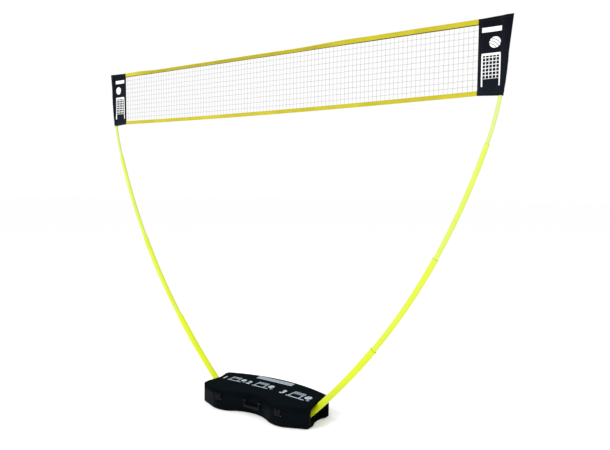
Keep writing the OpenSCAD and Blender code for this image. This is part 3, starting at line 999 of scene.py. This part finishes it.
def sew(name, lines, thread, pitch, size):
    """A piece of stitches along lines of points."""
    made = bmesh.new()
    for line in lines:
        verts = [made.verts.new(point) for point in line]
        for first, second in zip(verts, verts[1:]):
            made.edges.new((first, second))
    piece = show(name, meshed(name, made), thread)
    return stitch_tree(thread, pitch, size).run_on(piece)


def raised(rings, picks, lift):
    """Points over a surface of rings, at picked (ring, point) places."""
    last_i, last_j = len(rings) - 1, len(rings[0]) - 1
    points = []
    for i, j in picks:
        along = rings[min(i + 1, last_i)][j] - rings[max(i - 1, 0)][j]
        across = rings[i][min(j + 1, last_j)] - rings[i][max(j - 1, 0)]
        points.append(rings[i][j] + along.cross(across).normalized() * lift)
    return points


TAPE_STEPS, FACE_STEPS, FOLD_STEPS = 240, 7, 8


def tape_profile(height, flip):
    """(distance to the back, height) along folded webbing, from its open edge round the fold."""
    cord, open_half = 2.1 * MM, 1.3 * MM
    fold = height - cord
    front = [(-open_half - (cord - open_half) * smooth(z / fold), z)
             for z in spread(0.0, fold, FACE_STEPS)]
    over = [(-cord * math.cos(t), fold + cord * math.sin(t))
            for t in spread(0.0, math.pi, FOLD_STEPS)[1:-1]]
    back = [(-y, z) for y, z in reversed(front)]
    return [(y, -z if flip else z) for y, z in front + over + back]


def webbing(name, edge_height, height, lean_at, flip, edging):
    """Folded webbing along the net; edge_height and lean_at are functions of the place along it."""
    plan = NetPlan()
    tuck = 3 * MM
    profile = tape_profile(height, flip)
    places = spread(-plan.half - tuck, plan.half + tuck, TAPE_STEPS)
    rings = []
    for x in places:
        lean, base = lean_at(x), edge_height(x)
        wave = 0.8 * MM * math.sin(x * 11.0) + 0.5 * MM * math.sin(x * 27.0 + 1.0)
        wave *= smooth((plan.half - abs(x)) / 0.10)
        rings.append([Vector((
            x,
            y * math.cos(lean) - abs(z) * math.sin(lean) + wave,
            base + z * math.cos(lean) + y * math.sin(lean))) for y, z in profile])
    widths = [0.0]
    for first, second in zip(profile, profile[1:]):
        widths.append(widths[-1] + math.dist(first, second))
    made = skin(rings, lambda a, b: places[a], lambda a, b: widths[b], "tape")
    piece = show(name, meshed(name, made), tape_webbing(name, edging, widths[-1]))
    return walled(piece, 0.8 * MM), rings, (places[-1] - places[0], widths[-1])


def tape_stitches(rings):
    """Lines of stitching near the open edge and near the fold, on both faces."""
    last = len(rings[0]) - 1
    middle = (rings[0][0] + rings[0][last]) / 2
    lift = 0.45 * MM
    lines = []
    for j in (1, FACE_STEPS - 1, last - FACE_STEPS + 1, last - 1):
        picks = [(i, j) for i in range(len(rings))]
        points = raised(rings, picks, lift)
        if (points[0] - middle).length < (rings[0][j] - middle).length:
            points = raised(rings, picks, -lift)
        lines.append(points)
    return lines


class NETSET_OT_tapes(bpy.types.Operator):
    """Fold the two tapes over the net's edges and sew them"""
    bl_idname = "netset.tapes"
    bl_label = "Tapes"

    def execute(self, context):
        plan = NetPlan()
        sizes = settings().net
        thread = sewing_thread("gold_thread", shaded(sizes.gold, 0.8))

        def top_lean(x):
            grown, mottle_and_painted_light = smooth((x + 1.33) / 0.36), smooth((x - 0.28) / 0.50)
            return sizes.tape_lean * grown * (1 - mottle_and_painted_light)

        jobs = (
            ("top_webbing", "top_tape", lambda x: plan.mesh_top, plan.top_height, top_lean, False,
             sizes.edging),
            ("bottom_webbing", "bottom_tape", lambda x: plan.mesh_low - plan.droop(x),
             plan.low_height, lambda x: 0.0, True, 0.0),
        )
        for name, node, edge_height, height, lean_at, flip, edging in jobs:
            piece, rings, flat = webbing(name, edge_height, height, lean_at, flip, edging)
            fit(piece, CASE_BODY, "tape_webbing", node)
            seams = sew(name + "_stitches", tape_stitches(rings), thread, pitch=4.4 * MM,
                        size=(3.2 * MM, 0.75 * MM))
            fit(seams, CASE_BODY, "tape_webbing")
        return {"FINISHED"}


# ---- End panels ----

class Panel:
    """Cloth of one end panel: flat beside the net, sewn to a sleeve round the pole."""

    FLAT, LEAD, ROUND, FLARE, CLOSING = 14, 3, 12, 4, 6
    HEM, TOP_HEM, HEM_THICK = 0.046, 0.030, 0.45 * MM
    HALF_GAP, SEAM_BESIDE = 0.7 * MM, 9 * MM
    EDGE_GAP, TAPE_GAP = 0.9 * MM, 1.7 * MM
    # height, waves up, waves across and shift of each ripple
    RIPPLES = ((1.5 * MM, 7.5, 2.2, 0.0), (0.8 * MM, 19.0, -5.0, 1.0), (0.4 * MM, 41.0, 9.0, 0.0))

    def __init__(self, side_name):
        self.side = SIDES[side_name]
        self.course = PoleCourse(1)
        self.plan = NetPlan()
        poles = settings().poles
        low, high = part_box(side_name + "_panel")
        self.radius = poles.girth / 2 - 1.5 * poles.step + 1.0 * MM
        self.drop = self.plan.low - low.z
        self.rise = 4 * MM
        self.outer_top = max(abs(low.x), abs(high.x))
        self.outer_low = self.course.top_at(self.plan.low - self.drop) + self.radius + 0.5 * MM
        self.dome = 3.4 * MM
        self.rings = [self.ring(*row) for row in self.row_list()]

    def row_list(self):
        """(share of the height, bulge, closing) from the bottom edge to the closed top."""
        hem, top_hem = self.HEM, self.TOP_HEM
        shares = [0.0, 0.012, 0.028, hem - 0.002, hem + 0.002]
        shares += spread(hem + 0.008, 1 - top_hem - 0.006, 118)
        shares += [1 - top_hem - 0.002, 1 - top_hem + 0.002, 0.978, 0.989, 1.0]
        rows = [(share, 1.0, 0.0) for share in shares]
        return rows + [(1.0, math.cos(t), math.sin(t))
                       for t in spread(0.0, math.pi / 2, self.CLOSING)[1:]]

    def way(self, x, end):
        """Share of the way from the net's end to another end at which x lies."""
        return (x - self.plan.half) / (end - self.plan.half)

    def hem_at(self, share):
        """How much a turned hem thickens the cloth."""
        return self.HEM_THICK if share < self.HEM or share > 1 - self.TOP_HEM else 0.0

    def edge_half(self, height):
        """Half of the gap between the layers at the inner edge, wider where a tape ends in it."""
        at_top = smooth((height - self.plan.mesh_top + 12 * MM) / (10 * MM))
        at_low = smooth((self.plan.mesh_low + 12 * MM - height) / (10 * MM))
        return self.EDGE_GAP + self.TAPE_GAP * max(at_top, at_low)

    def ring(self, share, bulge, closing):
        """Points round both layers at a share of the height."""
        height = self.plan.low + (self.plan.top - self.dome - self.plan.low) * share
        centre = self.course.top_at(height)
        hem = self.hem_at(share)
        radius = self.radius + hem + self.pucker(share)
        outer = self.outer_low + (self.outer_top - self.outer_low) * share
        outer = max(outer, centre + radius + 0.3 * MM)
        seam = centre - radius - self.SEAM_BESIDE
        half = self.HALF_GAP + hem
        start = (self.plan.half, -self.edge_half(height) - hem)
        front = [(start[0] + (seam - start[0]) * k / self.FLAT,
                  start[1] + (-half - start[1]) * smooth(k / 4)) for k in range(self.FLAT + 1)]
        front += self.over_pole((seam, half), centre, radius, (outer, half))
        points = [self.place(x, y * bulge, share, closing, seam) for x, y in front]
        fold = self.place(outer + 0.6 * MM, 0.0, share, closing, seam)
        back = [self.place(x, -y * bulge, share, closing, seam) for x, y in reversed(front)]
        return points + [fold] + back

    def over_pole(self, start, centre, radius, end):
        """Front layer from the sleeve's seam over the pole to the outer fold."""
        first = self.touch(centre - start[0], start[1], radius)
        last = self.touch(end[0] - centre, end[1], radius)
        lead_to = (centre - radius * math.cos(first), -radius * math.sin(first))
        leave = (centre + radius * math.cos(last), -radius * math.sin(last))
        route = straight((start[0], -start[1]), lead_to, self.LEAD)
        route += [(centre - radius * math.cos(t), -radius * math.sin(t))
                  for t in spread(first, math.pi - last, self.ROUND)[1:]]
        return route + straight(leave, (end[0], -end[1]), self.FLARE)

    @staticmethod
    def touch(distance, half, radius):
        """Direction, seen from the pole, at which cloth from a point beside it touches it."""
        reach = math.hypot(distance, half)
        return math.atan2(half, distance) + math.acos(min(1.0, radius / reach))

    def pucker(self, share):
        """Slight gathering of the sleeve."""
        return 0.25 * MM * math.sin(share * 46.0) + 0.15 * MM * math.sin(share * 117.0 + 1.0)

    def place(self, x, y, share, closing, seam):
        """Turns a place in the profile into a point, and lets the flat part ripple."""
        low = self.plan.low - self.drop * self.way(x, self.outer_low)
        high = self.plan.top + self.rise * self.way(x, self.outer_top)
        z = low + (high - self.dome - low) * share + self.dome * closing
        across = self.way(x, seam)
        free = max(0.0, min(1.0, across * 5)) * max(0.0, min(1.0, (1 - across) * 5))
        ripple = sum(size * math.sin(up * share + over * across + shift)
                     for size, up, over, shift in self.RIPPLES)
        return Vector((self.side * x, y + free * ripple, z))

    def uv(self, a, b):
        point = self.rings[a][b]
        return abs(point.x) - self.plan.half, point.z - self.plan.low

    def seam_lines(self):
        """Places of the stitching on both faces, as lists of (ring, point)."""
        count = len(self.rings[0]) - 1
        rows = len(self.rings) - self.CLOSING - 1
        lines = []
        for j in (1, 2, self.FLAT - 1, self.FLAT):
            for column in (j, count - j):
                lines.append([(i, column) for i in range(2, rows)])
        front_end = self.FLAT + self.LEAD + self.ROUND + self.FLARE
        for i in (3, rows - 3):
            lines.append([(i, j) for j in range(1, front_end)])
            lines.append([(i, j) for j in range(count - front_end + 1, count)])
        return lines


class NETSET_OT_end_panels(bpy.types.Operator):
    """Sew the end panels with their sleeves over the pole tips"""
    bl_idname = "netset.end_panels"
    bl_label = "End Panels"

    def execute(self, context):
        cloth = panel_cloth()
        thread = sewing_thread("dark_thread", (0.055, 0.058, 0.070))
        for side_name in SIDES:
            panel = Panel(side_name)
            made = skin(panel.rings, lambda a, b: panel.uv(a, b)[0],
                        lambda a, b: panel.uv(a, b)[1], "cloth")
            piece = show(side_name + "_panel_cloth", meshed(side_name + "_panel", made), cloth)
            walled(piece, 0.9 * MM)
            fit(piece, CASE_BODY, "panel_cloth", side_name + "_panel")
            middle = panel.rings[len(panel.rings) // 2]
            width = sum((q - p).length for p, q in zip(middle, middle[1:]))
            height = panel.plan.top - panel.plan.low + panel.drop
            lift = 0.55 * MM
            lines = []
            for picks in panel.seam_lines():
                near = raised(panel.rings, picks, lift)
                far = raised(panel.rings, picks, -lift)
                lines.append(near if abs(near[0].y) > abs(far[0].y) else far)
            seams = sew(side_name + "_panel_stitches", lines, thread, pitch=3.8 * MM,
                        size=(2.8 * MM, 0.6 * MM))
            fit(seams, CASE_BODY, "panel_cloth")
        return {"FINISHED"}


# ---- Stage ----

def aim(yaw, pitch, roll, place):
    """Matrix of a camera that looks along yaw and pitch, turned by roll."""
    yaw, pitch, roll = (math.radians(value) for value in (yaw, pitch, roll))
    forward = Vector((math.sin(yaw) * math.cos(pitch), math.cos(yaw) * math.cos(pitch),
                      math.sin(pitch)))
    level = Vector((math.cos(yaw), -math.sin(yaw), 0))
    upright = level.cross(forward)
    right = level * math.cos(roll) + upright * math.sin(roll)
    top = upright * math.cos(roll) - level * math.sin(roll)
    turned = Matrix((right, top, -forward)).transposed().to_4x4()
    return Matrix.Translation(place) @ turned


def soft_light(name, place, target, size, power):
    """A large square light that looks at a target."""
    data = bpy.data.lights.new(name, "AREA")
    data.size = size
    data.energy = power
    lamp = placed(name, data)
    lamp.location = place
    lamp.rotation_euler = (Vector(target) - Vector(place)).to_track_quat("-Z", "Y").to_euler()


class NETSET_OT_stage(bpy.types.Operator):
    """Set up the floor, the lights and the camera"""
    bl_idname = "netset.stage"
    bl_label = "Stage"

    def execute(self, context):
        scene = context.scene
        data = bpy.data.cameras.new("camera")
        sensor, focal_px, picture_px = 36.0, 563.77, 610.0
        data.sensor_width = sensor
        data.sensor_fit = "HORIZONTAL"
        data.lens = focal_px * sensor / picture_px
        data.clip_end = 200.0
        camera = placed("camera", data)
        camera.matrix_world = aim(yaw=-32.805, pitch=-3.811, roll=0.440,
                                  place=(2.208, -2.956, 1.470))
        scene.camera = camera

        made = bmesh.new()
        bmesh.ops.create_grid(made, x_segments=1, y_segments=1, size=60.0)
        floor = show("floor", meshed("floor", made), self.floor_finish())
        floor.location.z = CAD_BOX[0].z

        world = bpy.data.worlds.new("studio")
        scene.world = world
        world.use_nodes = True
        sky = world.node_tree.nodes["Background"]
        sky.inputs["Color"].default_value = (1, 1, 1, 1)
        sky.inputs["Strength"].default_value = 1.0
        soft_light("key", (-2.2, -3.6, 4.4), target=(0, 0, 0.6), size=2.4, power=150)
        soft_light("side", (3.8, -2.4, 1.7), target=(0, 0, 0.3), size=1.6, power=45)
        scene.view_settings.view_transform = "Standard"
        return {"FINISHED"}

    @staticmethod
    def floor_finish():
        f = Finish("floor_paper", 0.9, 0.1)
        tone = f.noise(f.place(), 1.4, 2.0)
        return f.use(base_color=f.mix(tone, (0.985, 0.985, 0.985), (1.0, 1.0, 1.0)))


# ---- Panel in the sidebar, registration ----

OPERATORS = (NETSET_OT_stage, NETSET_OT_case_shells, NETSET_OT_case_fittings,
             NETSET_OT_lid_prints, NETSET_OT_poles, NETSET_OT_net_mesh, NETSET_OT_end_panels,
             NETSET_OT_tapes)


class NETSET_PT_sidebar(bpy.types.Panel):
    """Sizes, colours and steps of the net set"""
    bl_idname = "NETSET_PT_sidebar"
    bl_label = "Net Set"
    bl_space_type = "VIEW_3D"
    bl_region_type = "UI"
    bl_category = "Net Set"

    def draw(self, context):
        layout = self.layout
        groups = context.scene.net_set
        for group in (groups.case, groups.poles, groups.net):
            box = layout.box()
            for name in group.__annotations__:
                box.prop(group, name)
        for operator in OPERATORS:
            layout.operator(operator.bl_idname)


CLASSES = (CaseSettings, PoleSettings, NetSettings, NetSetSettings, *OPERATORS, NETSET_PT_sidebar)


def register():
    for one in CLASSES:
        bpy.utils.register_class(one)
    bpy.types.Scene.net_set = PointerProperty(type=NetSetSettings)


def unregister():
    del bpy.types.Scene.net_set
    for one in reversed(CLASSES):
        bpy.utils.unregister_class(one)


def main():
    """Builds every piece in order."""
    register()
    for operator in OPERATORS:
        group, name = operator.bl_idname.split(".")
        getattr(getattr(bpy.ops, group), name)()


if __name__ == "__main__":
    main()
